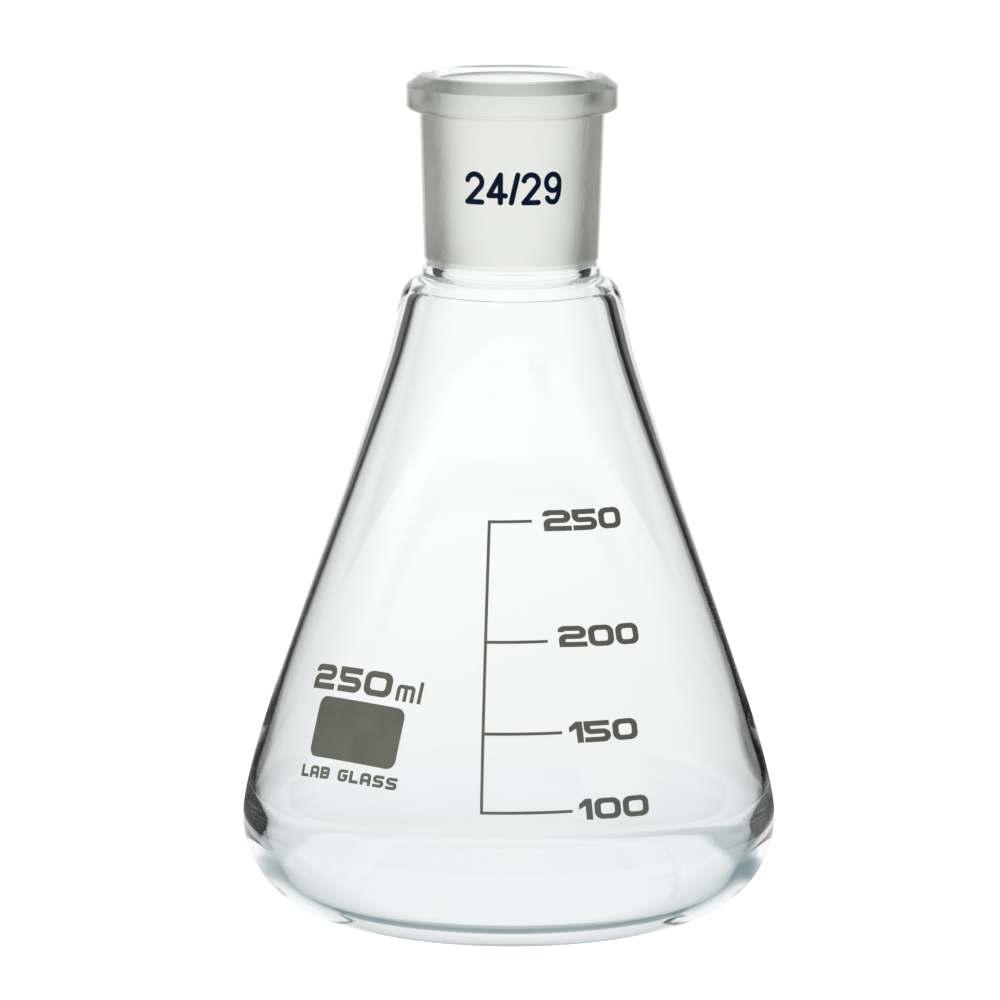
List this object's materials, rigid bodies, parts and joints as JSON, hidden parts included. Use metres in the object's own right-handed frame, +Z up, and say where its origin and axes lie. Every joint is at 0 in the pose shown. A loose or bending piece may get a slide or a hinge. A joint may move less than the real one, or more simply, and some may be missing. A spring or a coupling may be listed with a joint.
{
  "type": "erlenmeyer flask",
  "caption": "Conical laboratory flask of clear glass with a standard-taper ground-glass socket in the neck, fired-on grey volume scale and writing patch, and a blue joint-size mark.",
  "frame": {"origin": "on the flask's axis, in the plane it stands on", "axes": "+Z up along the flask's axis, out of the mouth; -Y is the side that carries the volume scale; +X to the right of someone who reads it"},
  "size_m": [0.085, 0.085, 0.1335],
  "materials": {
    "clear_glass": "clear fire-polished borosilicate glass",
    "ground_glass": "moulded glass, polished outside, ground matt in the taper bore",
    "grey_enamel": "fired-on enamel, satin",
    "blue_enamel": "fired-on blue enamel, satin"
  },
  "bodies": {
    "root": {"flask_body": "clear_glass", "ground_socket": "ground_glass", "scale_bracket": "grey_enamel", "numeral_250": "grey_enamel", "numeral_200": "grey_enamel", "numeral_150": "grey_enamel", "numeral_100": "grey_enamel", "capacity_legend": "grey_enamel", "marking_panel": "grey_enamel", "glass_legend": "grey_enamel", "joint_size_legend": "blue_enamel"}
  },
  "joints": []
}
